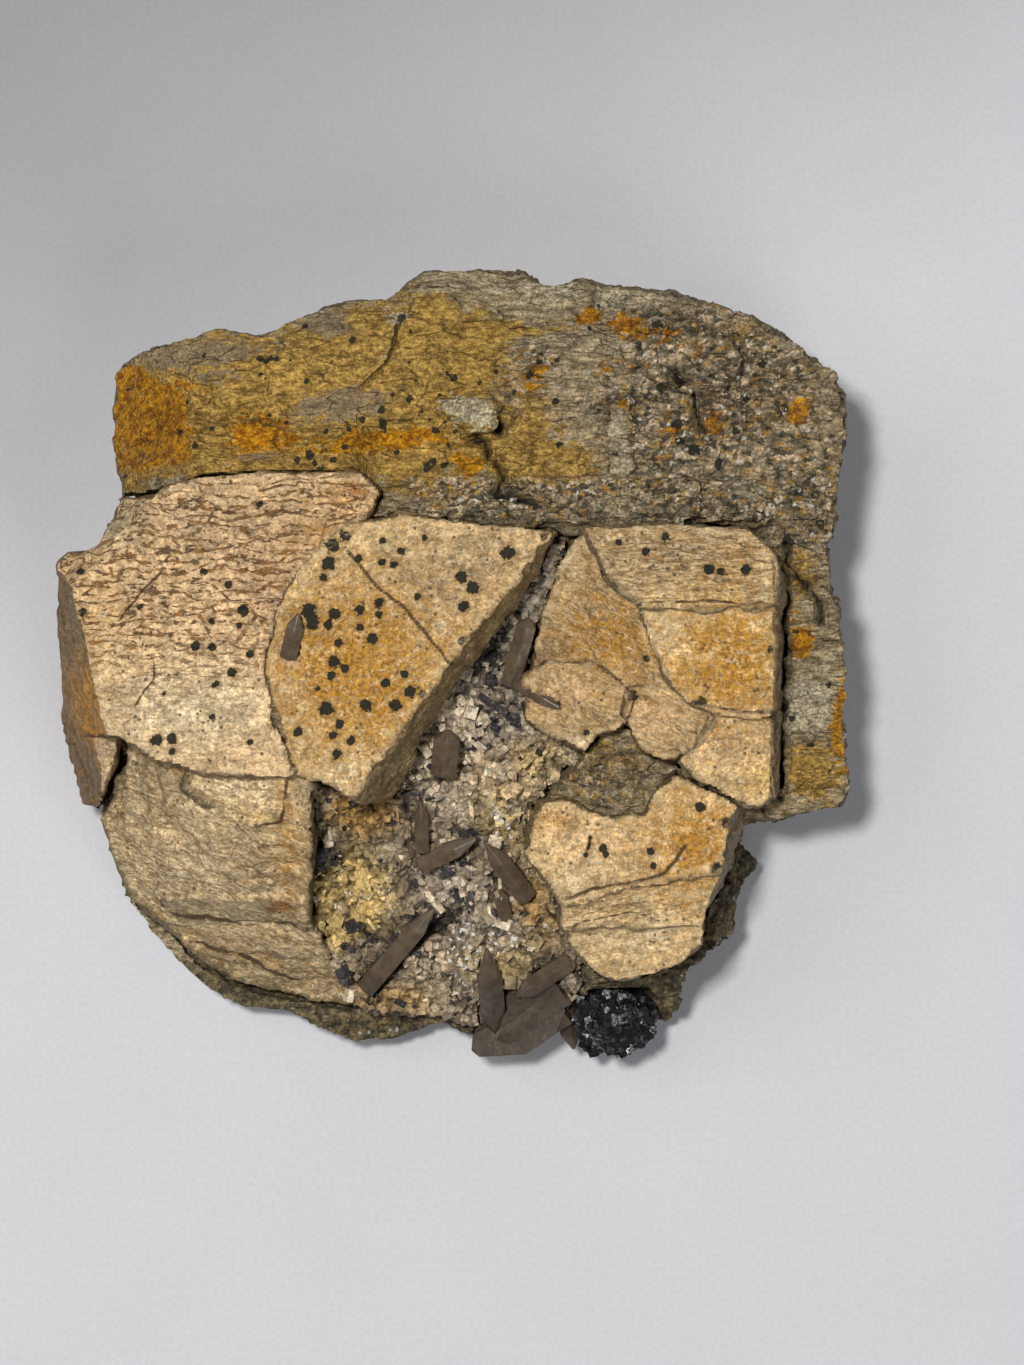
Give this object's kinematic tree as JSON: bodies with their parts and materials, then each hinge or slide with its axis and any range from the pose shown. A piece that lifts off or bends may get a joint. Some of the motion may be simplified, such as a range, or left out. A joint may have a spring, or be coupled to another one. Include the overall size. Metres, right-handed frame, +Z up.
{
  "type": "fluorite on matrix",
  "caption": "Mineral specimen with a flat base: blocky cream feldspar crystals and granular matrix round a V-shaped trough of dark fluorite crust and smoky quartz.",
  "frame": {"origin": "centre of the outline seen from above, on the flat base", "axes": "+Z up out of the flat base, +Y towards the back edge, where the granular rock shows, and +X towards the right edge"},
  "size_m": [0.121, 0.1209, 0.0495],
  "materials": {
    "granular_matrix": "weathered granular rock, grey to rusty orange, with dark specks",
    "cream_feldspar": "flat cleavage faces, satin, with brown cleavage traces and black specks",
    "dark_crust": "granular crust, grey and cream with purple-black grains and sparkling points",
    "dark_fluorite": "glossy purple-black cubes",
    "smoky_quartz": "clear smoky grey-brown, glossy"
  },
  "bodies": {
    "root": {"host_matrix": "granular_matrix", "left_feldspar": "cream_feldspar", "ridge_feldspar": "cream_feldspar", "lower_left_feldspar": "cream_feldspar", "right_feldspar": "cream_feldspar", "inner_feldspar": "cream_feldspar", "front_feldspar": "cream_feldspar", "fluorite_crust": "dark_crust", "fluorite_cluster": "dark_fluorite", "quartz_crossed_blades": "smoky_quartz", "quartz_slab": "smoky_quartz", "quartz_short_prism": "smoky_quartz", "quartz_lens": "smoky_quartz", "quartz_right_blade": "smoky_quartz", "quartz_brown_prism": "smoky_quartz", "quartz_fissure_blade": "smoky_quartz", "quartz_side_prism": "smoky_quartz", "quartz_on_ridge": "smoky_quartz", "quartz_upright": "smoky_quartz", "quartz_fan": "smoky_quartz"}
  },
  "joints": []
}
